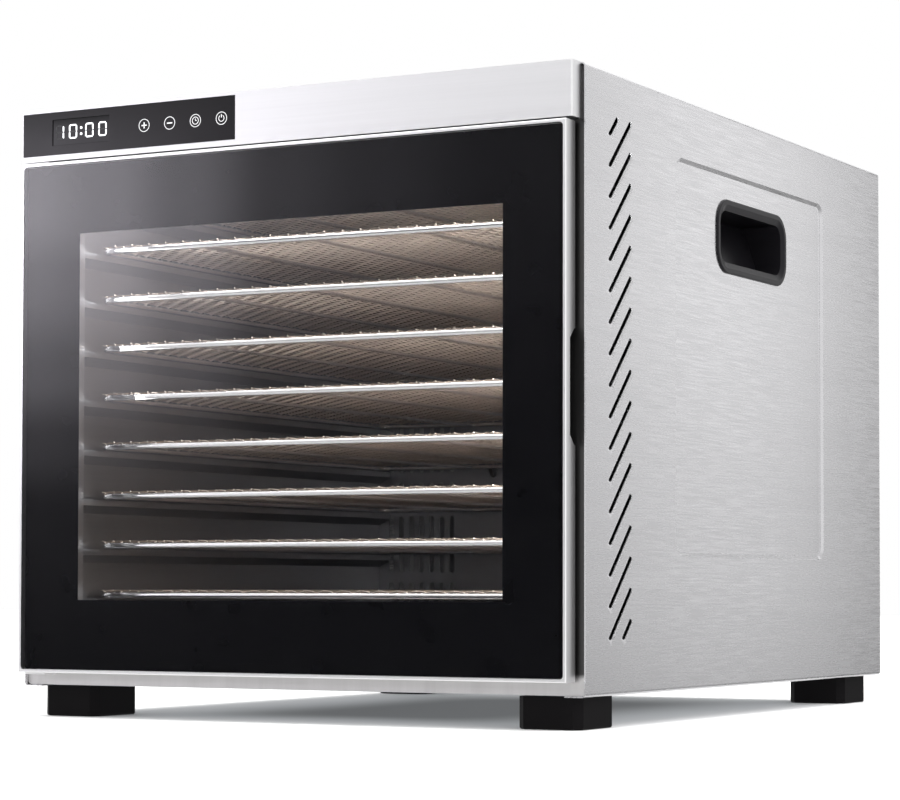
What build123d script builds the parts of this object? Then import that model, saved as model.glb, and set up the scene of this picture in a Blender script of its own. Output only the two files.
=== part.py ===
"""Cabinet food dehydrator: a louvred steel cabinet with a glass door, ten wire trays, a fan and a heater.

Frame: millimetres, +Z up, the door faces -Y, +X is to the right of someone facing the door.
Origin: centre of the whole object's footprint, on the surface that the feet stand on.
"""

import os
from math import cos, radians, sin

from build123d import *

# Cabinet
cabinet_width = 412.0
cabinet_depth = 513.0
cabinet_height = 380.0
skin = 0.8
skin_bend = 2.4
seat_gap = 0.2
base_return = 14.0
flange = 12.0
base_flange = 7.0
sheet_lip = 4.0

# Feet
foot_height = 20.0
foot_width = 43.0
foot_length = 50.0
foot_side_inset = 8.0
foot_end_inset = 9.0
foot_corner = 5.0
foot_screw_r = 2.0
foot_screw_head_r = 4.0
foot_screw_head = 3.0
foot_screw_sunk = 6.0
foot_screw_run_out = 6.0
foot_edge = 1.5

# Louvres and pressed panel on each side
louvre_front = 32.8
louvre_run = 31.3
louvre_low = 34.1
louvre_pitch = 19.16
louvre_top_clear = 27.0
louvre_width = 2.2
louvre_lip = 5.0
louvre_rise = 1.0
louvre_wall = 0.5
louvre_flat = 0.6
louvre_end = 1.5
panel_front = 133.0
panel_rear = 118.0
panel_low = 85.5
panel_top_clear = 38.5
panel_corner = 10.0
press_depth = 1.5
press_slope = 2.4

# Hand holes
handle_length = 122.0
handle_tall = 49.5
handle_below_panel_top = 42.0
handle_corner = 17.0
handle_rim = 1.4
handle_rim_edge = 1.0
handle_hole_inset = 4.5
handle_band_inset = 3.5
handle_band_depth = 1.8
handle_opening_inset = 7.5
handle_depth = 30.0
handle_low_depth = 17.0
handle_wall = 1.8

# Fascia, controls and door
door_proud = 15.0
door_thickness = 14.5
fascia_proud = 12.0
fascia_inset = 2.75
fascia_height = 34.0
door_inset = 5.6
door_gap = 1.5
rail_height = 9.2
frame_setback = 2.5
plate_margin_left = 2.1
plate_margin_low = 3.8
plate_width = 166.1
plate_tall = 28.1
plate_thickness = 2.0
plate_proud = 0.3
plate_opening_lap = 8.0
fascia_edge = 1.2
lens_left = 23.6
lens_width = 45.6
lens_tall = 17.3
lens_below_plate_top = 4.9
lens_sink = 0.6
first_key = 96.7
key_pitch = 19.83
key_count = 4
fit_gap = 0.2

door_wall = 1.2
door_rim = 2.0
door_corner = 2.5
door_edge = 0.6
glass_thickness = 4.0
glass_sink = 0.3
border_thickness = 0.4
window_side = 44.4
window_end = 47.65
window_hem = 3.0
notch_tall = 70.0
notch_low = 140.9
notch_depth = 9.0
notch_chamfer = 6.0
notch_reach = 17.0
seal_thickness = 2.4
seal_width = 6.0
seal_reach = 3.0
seal_corner = 4.0
catch_width = 12.0
catch_tall = 50.0
catch_below_notch = 12.0
catch_clear = 3.0
catch_depth = 9.0
catch_proud = 0.6
catch_plate_thickness = 1.2
catch_plate_side = 1.0
catch_plate_end = 5.0

# Door hinge
pin_r = 2.0
pin_clearance = 0.06
pin_length = 8.0
bush_r = 3.6
bush_length = 8.5
bush_press = 0.05
bush_from_side = 2.0
bush_from_web = 0.5
hinge_leaf = 1.0
hinge_leg = 1.2
hinge_plate_width = 16.0
hinge_screw_in = 6.5
hinge_screw_spacing = 11.0
hinge_plate_tall = 24.0
hinge_screw_r = 1.5
hinge_screw_sunk = 0.1
hinge_screw_run = 8.0

# Oven space and trays
cavity_side_gap = 34.0
cavity_floor_up = 12.0
cavity_under_fascia = 4.0
tray_count = 10
tray_first_up = 27.3
tray_top_clear = 20.4
tray_side_gap = 5.5
tray_front = 22.0
tray_rear_gap = 10.0
tray_corner = 12.0
tray_wire_r = 2.0
tray_support_r = 1.25
tray_supports = 3
mesh_thickness = 0.8
mesh_columns = 10
mesh_rows = 11
mesh_bar = 5.0
ledge_reach = 10.0
ledge_face = 4.0
ledge_slope = 5.0
slide_gap = 0.3
through = 1.0

# Air slots in the base pan and the rear panel
base_slot_length = 50.0
base_slot_width = 4.0
base_slot_pitch = 14.0
base_slot_count = 11
intake_hole_r = 3.6
intake_ring_step = 14.0
intake_first_ring = 16.0
intake_ring_holes = 6
intake_rings = 4
rear_slot_length = 54.0
rear_slot_width = 4.5
rear_slot_pitch_x = 66.0
rear_slot_pitch_z = 11.0
rear_slot_columns = 3
rear_slot_rows = 4
rear_slots_up = 60.0
return_slot_length = 18.0
return_slot_width = 4.0
return_slot_pitch_x = 9.0
return_slot_pitch_z = 26.0
return_slot_columns = 7
return_slot_rows = 10
baffle_over_ceiling = 20.0

# Circuit boards
board_thickness = 1.6
control_board_gap = 5.0
control_board_lap = 2.0
control_board_ends = (6.0, 3.0)
display_block_short = 1.0
display_block_tall = 14.0
touch_spring_r = 4.5
touch_spring_short = 0.2
power_board_x = 60.0
power_board_back = 120.0
power_board_width = 120.0
power_board_depth = 80.0
power_post_height = 6.0
power_post_r = 3.0
power_post_inset = 6.0
transformer = (32.0, 36.0, 18.4)
relay = (18.0, 16.0, 14.4)
capacitor_r = 5.5
capacitor_height = 16.4

# Fan chamber
fan_chamber_depth = 101.0
fan_hole_r = 84.0
grille_r = 92.0
grille_thickness = 1.0
grille_rings = 5
grille_first_ring = 20.0
grille_ring_step = 13.5
grille_slot_width = 7.0
grille_slot_longest = 12.0
impeller_r = 74.0
hub_r = 13.0
hub_length = 22.0
impeller_behind_baffle = 26.0
blade_count = 5
blade_thickness = 1.4
blade_root_width = 20.0
blade_tip_width = 44.0
blade_root_angle = 50.0
blade_tip_angle = 66.0
blade_root_sunk = 3.0
shaft_r = 4.0
shaft_length = 50.0
shaft_clearance = 0.02
shaft_nut_r = 6.0
shaft_nut_length = 3.9
shaft_past_nut = 1.0
motor_r = 36.0
motor_length = 36.0
motor_behind_impeller = 19.0
motor_edge = 4.0
motor_boss_r = 12.0
motor_boss = 5.0
motor_vent_r = 3.0
motor_vent_inset = 8.0
motor_vent_step = 30
motor_bore_depth = 24.0
bracket_reach = 62.0
bracket_bar = 16.0
bracket_thickness = 2.0
bracket_hub_r = 24.0
bracket_post_r = 5.0
bracket_post_inset = 6.0
heater_r = 84.0
heater_tube_r = 3.25
heater_behind_baffle = 12.0
heater_arc = 330.0
heater_lead = 40.0
return_slot_inset = 38.0
probe_x = 40.0
probe_r = 3.0
probe_below_ceiling = 22.0
probe_reach = 6.0
probe_behind = 14.0
probe_flange = 3.2
cutout_x = -60.0
cutout_below_ceiling = 12.0
cutout_r = 8.0
cutout_height = 9.0
cutout_ear = 12.0
cutout_ear_thickness = 1.2
cutout_tab = 7.0

# Back
gland_proud = 6.0
gland_r = 8.0
gland_from_side = 56.0
gland_up = 42.0
gland_flange = 4.0
gland_edge = 2.0
gland_inside = 8.0
cord_r = 3.6
terminal_width = 36.0
terminal_depth = 18.0
terminal_tall = 16.0
terminal_from_back = 34.0
terminal_pitch = 12.0
terminal_left = 20.0
terminal_first = 14.0
terminal_count = 3
terminal_hole_r = 2.2
rear_screw_r = 1.8
rear_screw_head_r = 3.4
rear_screw_head = 1.4
rear_screw_run = 8.0
rear_screw_inset = 9.0

# Derived places
half_width = cabinet_width / 2
inner_half = half_width - skin
front_y = (door_proud - cabinet_depth - gland_proud) / 2
back_y = front_y + cabinet_depth
base_z = foot_height
top_z = base_z + cabinet_height
louvre_count = 1 + int((cabinet_height - louvre_low - louvre_run - louvre_top_clear) / louvre_pitch)
louvre_top = louvre_low + louvre_pitch * (louvre_count - 1) + louvre_run
panel_length = cabinet_depth - panel_front - panel_rear
panel_tall = cabinet_height - panel_low - panel_top_clear
cavity_half = half_width - cavity_side_gap
cavity_ceiling_up = cabinet_height - fascia_height - cavity_under_fascia
baffle_back = cabinet_depth - fan_chamber_depth
tray_half_width = cavity_half - tray_side_gap
tray_length = baffle_back - tray_front - tray_rear_gap
tray_pitch = (cavity_ceiling_up - tray_first_up - tray_top_clear) / (tray_count - 1)
frame_y = front_y + frame_setback
baffle_y = front_y + baffle_back
floor_z = base_z + cavity_floor_up
ceiling_z = base_z + cavity_ceiling_up
ceiling_top = ceiling_z + seat_gap + skin
probe_z = ceiling_z - probe_below_ceiling
fascia_half = half_width - fascia_inset
fascia_low = top_z - fascia_height
fascia_front = front_y - fascia_proud
door_half = half_width - door_inset
door_low = base_z + rail_height
door_high = fascia_low - door_gap
door_front = front_y - door_proud
door_back = door_front + door_thickness
hinge_x = -door_half + bush_from_side + bush_r
window_mid_z = (door_low + door_high) / 2
window_width = 2 * (door_half - window_side)
window_tall = door_high - door_low - 2 * window_end
glass_back = door_front + glass_sink + glass_thickness
web_front = glass_back + border_thickness + fit_gap
hinge_y = web_front + bush_from_web + bush_r
plate_left = -fascia_half + plate_margin_left
plate_low = fascia_low + plate_margin_low
lens_mid_x = plate_left + lens_left + lens_width / 2
lens_mid_z = plate_low + plate_tall - lens_below_plate_top - lens_tall / 2
panel_mid_y = front_y + panel_front + panel_length / 2
panel_mid_z = base_z + panel_low + panel_tall / 2
handle_mid_z = base_z + panel_low + panel_tall - handle_below_panel_top
handle_face = half_width - press_depth
handle_opening_tall = handle_tall - 2 * handle_opening_inset
handle_inner_depth = handle_depth - handle_wall
fan_z = (floor_z + ceiling_z) / 2
impeller_y = baffle_y + impeller_behind_baffle
motor_front = impeller_y + motor_behind_impeller
motor_back = motor_front + motor_length
gland_x = half_width - gland_from_side
gland_z = base_z + gland_up
foot_x = half_width - foot_side_inset - foot_width / 2
foot_front_y = front_y + foot_end_inset + foot_length / 2
foot_back_y = back_y - foot_end_inset - foot_length / 2
foot_places = [(x, y) for x in (-foot_x, foot_x) for y in (foot_front_y, foot_back_y)]
tray_zs = [base_z + tray_first_up + tray_pitch * i for i in range(tray_count)]
tray_mid_y = front_y + tray_front + tray_length / 2
notch_mid_z = door_low + notch_low + notch_tall / 2
catch_low_z = door_low + notch_low - catch_below_notch - catch_tall

os.makedirs("parts", exist_ok=True)


def facing(y):
    """Vertical plane at depth y, drawn as seen from the front: local x is X, local y is Z."""
    return Plane.XZ.offset(-y)


def flank(x):
    """Vertical plane at distance x to the right: local x is Y, local y is Z."""
    return Plane.YZ.offset(x)


def block(x_pair, y_pair, z_pair, mode=Mode.ADD):
    """Add or cut a box that spans three pairs of coordinates."""
    pairs = (x_pair, y_pair, z_pair)
    with Locations(tuple(sum(pair) / 2 for pair in pairs)):
        Box(*(abs(pair[1] - pair[0]) for pair in pairs), mode=mode)


def rod(x, z, y_pair, radius, mode=Mode.ADD):
    """Add or cut a round bar that runs front to back."""
    with Locations(Location((x, sum(y_pair) / 2, z), (90, 0, 0))):
        Cylinder(radius, abs(y_pair[1] - y_pair[0]), mode=mode)


def post(x, y, z_pair, radius, mode=Mode.ADD):
    """Add or cut an upright round bar."""
    with Locations((x, y, sum(z_pair) / 2)):
        Cylinder(radius, abs(z_pair[1] - z_pair[0]), mode=mode)


def save(part, name):
    """Label a finished sub-part and write it to its own file."""
    part.label = name
    export_step(part, f"parts/{name}.step")


def handle_outline(inset):
    """Rounded outline of the hand hole, drawn a given distance inside the cup's rim."""
    RectangleRounded(handle_length - 2 * inset, handle_tall - 2 * inset, handle_corner - inset)


def louvre_places():
    """Middle and length of each slit; the first and the last are cut short at the ends of the row."""
    places = []
    for index in range(-1, louvre_count + 1):
        low = louvre_low + louvre_pitch * index
        start = max(0.0, louvre_low - low)
        end = min(louvre_run, louvre_top - low)
        middle = (start + end) / 2
        length = (end - start) / cos(radians(45))
        places.append((front_y + louvre_front + middle, base_z + low + middle, length))
    return places


def make_louvre_hoods():
    """Lips pressed out behind the slits of the right side, highest at the slit, one solid each."""
    across = louvre_width / 2 + louvre_lip
    crest = louvre_width / 2 + louvre_flat
    root_x = half_width - skin / 2
    with BuildPart() as hoods:
        for y, z, length in louvre_places():
            slit = Location((y, z, 0), (0, 0, 45))
            with BuildSketch(flank(root_x)):
                with Locations(slit * Location((0, -across / 2))):
                    Rectangle(length + 2 * louvre_end, across)
            with BuildSketch(flank(half_width + louvre_rise)):
                with Locations(slit * Location((0, -crest / 2))):
                    Rectangle(length - 2 * louvre_end, crest)
            loft()
    return hoods.part


def make_outer_wrap():
    """Top and both sides folded from one sheet, with louvres, pressed panels and hand holes."""
    hoods = make_louvre_hoods()
    hollows = hoods.moved(Location((-louvre_wall, 0, 0)))
    with BuildPart() as wrap:
        with BuildSketch(facing(front_y)):
            with BuildLine():
                FilletPolyline(
                    (-half_width + base_return, base_z),
                    (-half_width, base_z),
                    (-half_width, top_z),
                    (half_width, top_z),
                    (half_width, base_z),
                    (half_width - base_return, base_z),
                    radius=skin_bend,
                )
                offset(amount=skin, side=Side.RIGHT)
            make_face()
        extrude(amount=-cabinet_depth)
        add((hoods, hoods.mirror(Plane.YZ)))
        add((hollows, hollows.mirror(Plane.YZ)), mode=Mode.SUBTRACT)
        for side in (-1, 1):
            for inset, mode in ((skin, Mode.ADD), (0, Mode.SUBTRACT)):
                mouth_x = side * (half_width - inset)
                with BuildSketch(flank(mouth_x)):
                    with Locations((panel_mid_y, panel_mid_z)):
                        RectangleRounded(panel_length, panel_tall, panel_corner)
                with BuildSketch(flank(mouth_x - side * press_depth)):
                    with Locations((panel_mid_y, panel_mid_z)):
                        RectangleRounded(
                            panel_length - 2 * press_slope,
                            panel_tall - 2 * press_slope,
                            panel_corner - press_slope,
                        )
                loft(mode=mode)
            with BuildSketch(flank(side * (half_width + louvre_rise))):
                for y, z, length in louvre_places():
                    with Locations((y, z)):
                        SlotOverall(length, louvre_width, rotation=45)
                with Locations((panel_mid_y, handle_mid_z)):
                    handle_outline(handle_hole_inset)
            extrude(amount=-side * (louvre_rise + press_depth + 2 * skin), mode=Mode.SUBTRACT)
    save(wrap.part, "outer_wrap")


def make_handle_cup(side, name):
    """Moulded grip cup: a rounded rim with a dished band, and a pocket that gets deeper towards its top."""
    deepening = handle_inner_depth - handle_low_depth
    ramp = Plane(
        origin=(side * (handle_face - handle_low_depth), panel_mid_y, handle_mid_z - handle_opening_tall / 2),
        x_dir=(0, 1, 0),
        z_dir=(side * handle_opening_tall, 0, deepening),
    )
    rim_face = side * (handle_face + handle_rim)
    middle = (panel_mid_y, handle_mid_z)
    with BuildPart() as pocket:
        with BuildSketch(flank(rim_face)):
            with Locations(middle):
                handle_outline(handle_opening_inset)
        extrude(amount=-side * (handle_rim + handle_inner_depth))
        split(bisect_by=ramp, keep=Keep.TOP)
    with BuildPart() as cup:
        with BuildSketch(flank(side * handle_face)):
            with Locations(middle):
                handle_outline(handle_hole_inset + fit_gap)
        extrude(amount=-side * handle_depth)
        split(bisect_by=ramp.offset(-handle_wall), keep=Keep.TOP)
        with BuildSketch(flank(side * handle_face)):
            with Locations(middle):
                handle_outline(0)
        extrude(amount=side * handle_rim)
        fillet(cup.faces().sort_by(Axis.X)[-1 if side > 0 else 0].edges(), handle_rim_edge)
        with BuildSketch(flank(rim_face)):
            with Locations(middle):
                handle_outline(handle_band_inset)
        with BuildSketch(flank(rim_face - side * handle_band_depth)):
            with Locations(middle):
                handle_outline(handle_opening_inset)
        loft(mode=Mode.SUBTRACT)
        add(pocket.part, mode=Mode.SUBTRACT)
    save(cup.part, name)


def make_base_pan():
    """Bottom sheet with upturned edges, screwed to the feet, with a row of air slots under the fan."""
    low = base_z + skin
    half = inner_half - skin_bend
    ends = (frame_y + skin + seat_gap, back_y - flange - seat_gap)
    with BuildPart() as pan:
        block((-half, half), ends, (low, low + base_flange))
        block((-half + skin, half - skin), (ends[0] + skin, ends[1] - skin),
              (low + skin, low + base_flange + skin), mode=Mode.SUBTRACT)
        with BuildSketch(Plane.XY.offset(low)):
            with Locations((0, (baffle_y + back_y) / 2)):
                with GridLocations(base_slot_pitch, 0, base_slot_count, 1):
                    SlotOverall(base_slot_length, base_slot_width, rotation=90)
        extrude(amount=skin, mode=Mode.SUBTRACT)
        for x, y in foot_places:
            post(x, y, (low, low + skin), foot_screw_r + fit_gap, Mode.SUBTRACT)
    save(pan.part, "base_pan")


def rear_screw_places():
    """Eight places round the rear panel's edge."""
    side_x = inner_half - rear_screw_inset
    levels = [base_z + cabinet_height * share for share in (0.08, 0.5, 0.94)]
    rows = [(x, z) for x in (-side_x, side_x) for z in levels]
    return rows + [(0, levels[0]), (0, levels[-1])]


def make_rear_panel():
    """Flanged rear sheet with an air intake behind the fan motor and louvre rows below it."""
    half = inner_half - seat_gap
    low = base_z + skin + seat_gap
    high = top_z - skin - seat_gap
    with BuildPart() as panel:
        block((-half, half), (back_y - flange, back_y), (low, high))
        fillet(panel.edges().filter_by(Axis.Y), skin_bend)
        block((-half + skin, half - skin), (back_y - flange - skin, back_y - skin), (low + skin, high - skin),
              mode=Mode.SUBTRACT)
        with BuildSketch(facing(back_y)):
            with Locations((0, fan_z)):
                for ring in range(intake_rings):
                    ring_r = intake_first_ring + intake_ring_step * ring
                    with PolarLocations(ring_r, intake_ring_holes * (ring + 1)):
                        Circle(intake_hole_r)
            with Locations((0, base_z + rear_slots_up)):
                with GridLocations(rear_slot_pitch_x, rear_slot_pitch_z, rear_slot_columns, rear_slot_rows):
                    SlotOverall(rear_slot_length, rear_slot_width)
            with Locations((gland_x, gland_z)):
                Circle(gland_r)
            with Locations(*rear_screw_places()):
                Circle(rear_screw_r + fit_gap)
        extrude(amount=2 * skin, both=True, mode=Mode.SUBTRACT)
    save(panel.part, "rear_panel")


def make_rear_screws():
    """Pan-head screws that would run into the wrap's rear tabs, one solid each."""
    with BuildPart() as screws:
        for x, z in rear_screw_places():
            rod(x, z, (back_y - rear_screw_run, back_y), rear_screw_r)
            rod(x, z, (back_y, back_y + rear_screw_head), rear_screw_head_r)
    save(screws.part, "rear_screws")


def make_front_frame():
    """Steel frame round the oven opening, behind the door and the fascia."""
    half = inner_half - seat_gap
    cut = (frame_y - through, frame_y + skin + through)
    with BuildPart() as frame:
        block((-half, half), (frame_y, frame_y + skin), (base_z + skin + seat_gap, top_z - skin - seat_gap))
        fillet(frame.edges().filter_by(Axis.Y), skin_bend)
        block((-cavity_half, cavity_half), cut, (floor_z, ceiling_z), mode=Mode.SUBTRACT)
        block((plate_left, plate_left + plate_width), cut,
              (fascia_low + plate_opening_lap, top_z - plate_opening_lap), mode=Mode.SUBTRACT)
        for x, z in hinge_screw_places():
            rod(x, z, cut, hinge_screw_r + fit_gap, Mode.SUBTRACT)
        block(magnet_span()[0], cut, magnet_span()[1], mode=Mode.SUBTRACT)
    save(frame.part, "front_frame")


def make_fascia():
    """Folded stainless strip over the door, with a cut-out for the control plate."""
    with BuildPart() as fascia:
        block((-fascia_half, fascia_half), (fascia_front, frame_y - seat_gap), (fascia_low, top_z))
        fillet(fascia.edges().filter_by(Axis.Z).group_by(Axis.Y)[0], fascia_edge)
        block((-fascia_half + skin, fascia_half - skin), (fascia_front + skin, frame_y),
              (fascia_low + skin, top_z - skin), mode=Mode.SUBTRACT)
        block((-half_width, half_width), (front_y - seat_gap, frame_y), (top_z - 2 * skin, top_z),
              mode=Mode.SUBTRACT)
        block((plate_left - fit_gap, plate_left + plate_width + fit_gap),
              (fascia_front - through, fascia_front + skin + through),
              (plate_low - fit_gap, plate_low + plate_tall + fit_gap), mode=Mode.SUBTRACT)
    save(fascia.part, "fascia_panel")


def make_control_plate():
    """Glossy plate with a window for the display, and the lens that fills the window."""
    front = fascia_front - plate_proud
    with BuildPart() as plate:
        block((plate_left, plate_left + plate_width), (front, front + plate_thickness),
              (plate_low, plate_low + plate_tall))
        with BuildSketch(facing(front)):
            with Locations((lens_mid_x, lens_mid_z)):
                Rectangle(lens_width, lens_tall)
        extrude(amount=-plate_thickness, mode=Mode.SUBTRACT)
    save(plate.part, "control_plate")
    with BuildPart() as lens:
        with BuildSketch(facing(front + lens_sink)):
            with Locations((lens_mid_x, lens_mid_z)):
                Rectangle(lens_width - 2 * fit_gap, lens_tall - 2 * fit_gap)
        extrude(amount=lens_sink - plate_thickness)
    save(lens.part, "display_window")


def make_control_board():
    """Circuit board behind the control plate, with the display block and four touch springs."""
    plate_back = fascia_front - plate_proud + plate_thickness
    board_front = plate_back + control_board_gap
    standing = (plate_back + touch_spring_short, board_front)
    display_half = lens_width / 2 - display_block_short
    with BuildPart() as board:
        block((plate_left + control_board_ends[0], plate_left + plate_width - control_board_ends[1]),
              (board_front, board_front + board_thickness),
              (plate_low + control_board_lap, plate_low + plate_tall - control_board_lap))
        block((lens_mid_x - display_half, lens_mid_x + display_half), standing,
              (lens_mid_z - display_block_tall / 2, lens_mid_z + display_block_tall / 2))
        for x in touch_key_xs():
            rod(x, plate_low + plate_tall / 2, standing, touch_spring_r)
    save(board.part, "control_board")


def touch_key_xs():
    """Middles of the four touch keys along the control plate."""
    return [plate_left + first_key + key_pitch * i for i in range(key_count)]


def make_power_board():
    """Mains board on posts over the ceiling sheet, with its transformer, relay and two capacitors."""
    y_mid = front_y + power_board_back
    half_x = power_board_width / 2
    half_y = power_board_depth / 2
    low = ceiling_top + power_post_height
    top = low + board_thickness
    with BuildPart() as board:
        block((power_board_x - half_x, power_board_x + half_x), (y_mid - half_y, y_mid + half_y), (low, top))
        for x in (power_post_inset - half_x, half_x - power_post_inset):
            for y in (power_post_inset - half_y, half_y - power_post_inset):
                post(power_board_x + x, y_mid + y, (ceiling_top, low), power_post_r)
        for x, y, size in ((-34, -2, transformer), (3, -16, relay)):
            with Locations((power_board_x + x, y_mid + y, top)):
                Box(*size, align=(Align.CENTER, Align.CENTER, Align.MIN))
        for x in (30, 44):
            post(power_board_x + x, y_mid + 10, (top, top + capacitor_height), capacitor_r)
    save(board.part, "power_board")


def make_side_liner(side, name):
    """Stamped inner wall with one tray ledge for each tray."""
    points = [(side * cavity_half, floor_z)]
    for tray_z in tray_zs:
        top = tray_z - tray_wire_r - slide_gap
        points += [
            (side * cavity_half, top - ledge_face - ledge_slope),
            (side * (cavity_half - ledge_reach), top - ledge_face),
            (side * (cavity_half - ledge_reach), top),
            (side * cavity_half, top),
        ]
    points.append((side * cavity_half, ceiling_z))
    start_y = frame_y + skin + seat_gap
    with BuildPart() as liner:
        with BuildSketch(facing(start_y)):
            with BuildLine():
                Polyline(*points)
                offset(amount=skin, side=Side.RIGHT if side > 0 else Side.LEFT)
            make_face()
        extrude(amount=-(baffle_y - seat_gap - start_y))
    save(liner.part, name)


def make_floor_and_ceiling():
    """Plain sheets that close the oven space below and above the trays."""
    half = cavity_half - seat_gap
    ends = (frame_y + skin + seat_gap, baffle_y - seat_gap)
    with BuildPart() as floor:
        block((-half, half), ends, (floor_z, floor_z + skin))
        block((-half, half), (ends[0], ends[0] + skin), (floor_z - sheet_lip, floor_z))
        block((-half, half), (ends[1] - skin, ends[1]), (floor_z - sheet_lip, floor_z))
    save(floor.part, "cavity_floor")
    with BuildPart() as ceiling:
        wide = cavity_half + skin + 2 * ledge_reach
        block((-wide, wide), ends, (ceiling_z + seat_gap, ceiling_top))
        block((-wide, wide), (ends[0], ends[0] + skin), (ceiling_top, ceiling_top + sheet_lip))
    save(ceiling.part, "cavity_ceiling")


def make_rear_baffle():
    """Rear wall of the oven space, with a round fan opening and columns of return slots."""
    half = inner_half - sheet_lip
    low = base_z + 2 * skin + seat_gap
    return_slot_x = cavity_half - return_slot_inset
    with BuildPart() as baffle:
        block((-half, half), (baffle_y, baffle_y + skin), (low, ceiling_z + baffle_over_ceiling))
        with BuildSketch(facing(baffle_y)):
            with Locations((0, fan_z)):
                Circle(fan_hole_r)
            for side_x in (-return_slot_x, return_slot_x):
                with Locations((side_x, fan_z)):
                    with GridLocations(return_slot_pitch_x, return_slot_pitch_z, return_slot_columns,
                                       return_slot_rows):
                        SlotOverall(return_slot_length, return_slot_width, rotation=90)
            with Locations((probe_x, probe_z)):
                Circle(probe_r + fit_gap)
        extrude(amount=-skin, mode=Mode.SUBTRACT)
    save(baffle.part, "rear_baffle")


def make_fan_grille():
    """Stamped guard over the fan opening: rings of short radial slots inside a flat rim."""
    with BuildPart() as grille:
        with BuildSketch(facing(baffle_y - seat_gap)):
            with Locations((0, fan_z)):
                Circle(grille_r)
                for ring in range(grille_rings):
                    length = min(grille_slot_longest, grille_slot_width + 1 + 2 * ring)
                    with PolarLocations(grille_first_ring + grille_ring_step * ring, 6 + 4 * ring):
                        SlotOverall(length, grille_slot_width, rotation=90, mode=Mode.SUBTRACT)
        extrude(amount=grille_thickness)
    save(grille.part, "fan_grille")


def make_motor_and_bracket():
    """Fan motor with vented ends, and the spider that carries it from the rear panel."""
    boss_front = motor_front - motor_boss
    with BuildPart() as motor:
        rod(0, fan_z, (motor_front, motor_back), motor_r)
        fillet(motor.edges().filter_by(GeomType.CIRCLE), motor_edge)
        rod(0, fan_z, (boss_front, motor_front + motor_edge), motor_boss_r)
        rod(0, fan_z, (boss_front - through, motor_front + motor_bore_depth), shaft_r + slide_gap,
            Mode.SUBTRACT)
        for angle in range(0, 360, motor_vent_step):
            x = (motor_r - motor_vent_inset) * cos(radians(angle))
            z = (motor_r - motor_vent_inset) * sin(radians(angle))
            rod(x, fan_z + z, (motor_front - through, motor_front + motor_edge), motor_vent_r, Mode.SUBTRACT)
    save(motor.part, "fan_motor")
    plate = (motor_back, motor_back + bracket_thickness)
    with BuildPart() as bracket:
        for angle in (45, 135):
            with Locations(Location((0, sum(plate) / 2, fan_z), (0, angle, 0))):
                Box(2 * bracket_reach, bracket_thickness, bracket_bar)
        rod(0, fan_z, plate, bracket_hub_r)
        for angle in range(45, 360, 90):
            x = (bracket_reach - bracket_post_inset) * cos(radians(angle))
            z = (bracket_reach - bracket_post_inset) * sin(radians(angle))
            rod(x, fan_z + z, (plate[1], back_y - skin), bracket_post_r)
    save(bracket.part, "motor_bracket")


def make_impeller():
    """Pressed axial fan: a hub and blades that twist from root to tip, on a shaft with a nut."""
    hub_front = impeller_y - hub_length / 2
    with BuildPart() as impeller:
        rod(0, fan_z, (hub_front, hub_front + hub_length), hub_r)
        for index in range(blade_count):
            angle = radians(360.0 * index / blade_count)
            spoke = Plane(origin=(0, impeller_y, fan_z), x_dir=(0, 1, 0), z_dir=(cos(angle), 0, sin(angle)))
            with BuildSketch(spoke.offset(hub_r - blade_root_sunk)):
                Rectangle(blade_root_width, blade_thickness, rotation=blade_root_angle)
            with BuildSketch(spoke.offset(impeller_r)):
                Rectangle(blade_tip_width, blade_thickness, rotation=blade_tip_angle)
            loft()
        rod(0, fan_z, (hub_front - through, hub_front + hub_length + through), shaft_r, Mode.SUBTRACT)
    save(impeller.part, "fan_impeller")
    nut_back = hub_front - shaft_clearance
    front = nut_back - shaft_nut_length - shaft_past_nut
    with BuildPart() as shaft:
        rod(0, fan_z, (front, front + shaft_length), shaft_r - shaft_clearance)
        rod(0, fan_z, (nut_back - shaft_nut_length, nut_back), shaft_nut_r)
    save(shaft.part, "motor_shaft")


def make_heater():
    """Tubular heater bent to an open ring round the fan, with two leads to the back."""
    y_mid = baffle_y + heater_behind_baffle
    end_angle = radians(heater_arc / 2)
    with BuildPart() as heater:
        with BuildSketch(Plane.XY.offset(fan_z)):
            with Locations((heater_r, y_mid)):
                Circle(heater_tube_r)
        turn = Axis((0, y_mid, fan_z), (0, 1, 0))
        revolve(axis=turn, revolution_arc=heater_arc)
        for angle in (0, -radians(heater_arc)):
            rod(heater_r * cos(angle), fan_z + heater_r * sin(angle), (y_mid, y_mid + heater_lead),
                heater_tube_r)
    save(heater.part, "heater_element")


def make_sensors():
    """Thermal cut-out on the rear wall and the thermistor probe that reaches into the oven space."""
    wall_back = baffle_y + skin
    cutout_z = ceiling_z - cutout_below_ceiling
    with BuildPart() as cutout:
        rod(cutout_x, cutout_z, (wall_back, wall_back + cutout_height), cutout_r)
        block((cutout_x - cutout_ear, cutout_x + cutout_ear), (wall_back, wall_back + cutout_ear_thickness),
              (cutout_z - cutout_r / 2, cutout_z + cutout_r / 2))
        block((cutout_x - cutout_r / 2, cutout_x + cutout_r / 2),
              (wall_back + cutout_height - skin, wall_back + cutout_height + cutout_tab - skin),
              (cutout_z - cutout_r / 4, cutout_z + cutout_r / 4))
    save(cutout.part, "thermal_cutout")
    with BuildPart() as sensor:
        rod(probe_x, probe_z, (baffle_y - probe_reach, baffle_y + probe_behind), probe_r)
        fillet(sensor.faces().sort_by(Axis.Y)[0].edges(), 2 * probe_r / 3)
        rod(probe_x, probe_z, (wall_back, wall_back + probe_flange), 2 * probe_r)
    save(sensor.part, "temperature_sensor")


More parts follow.
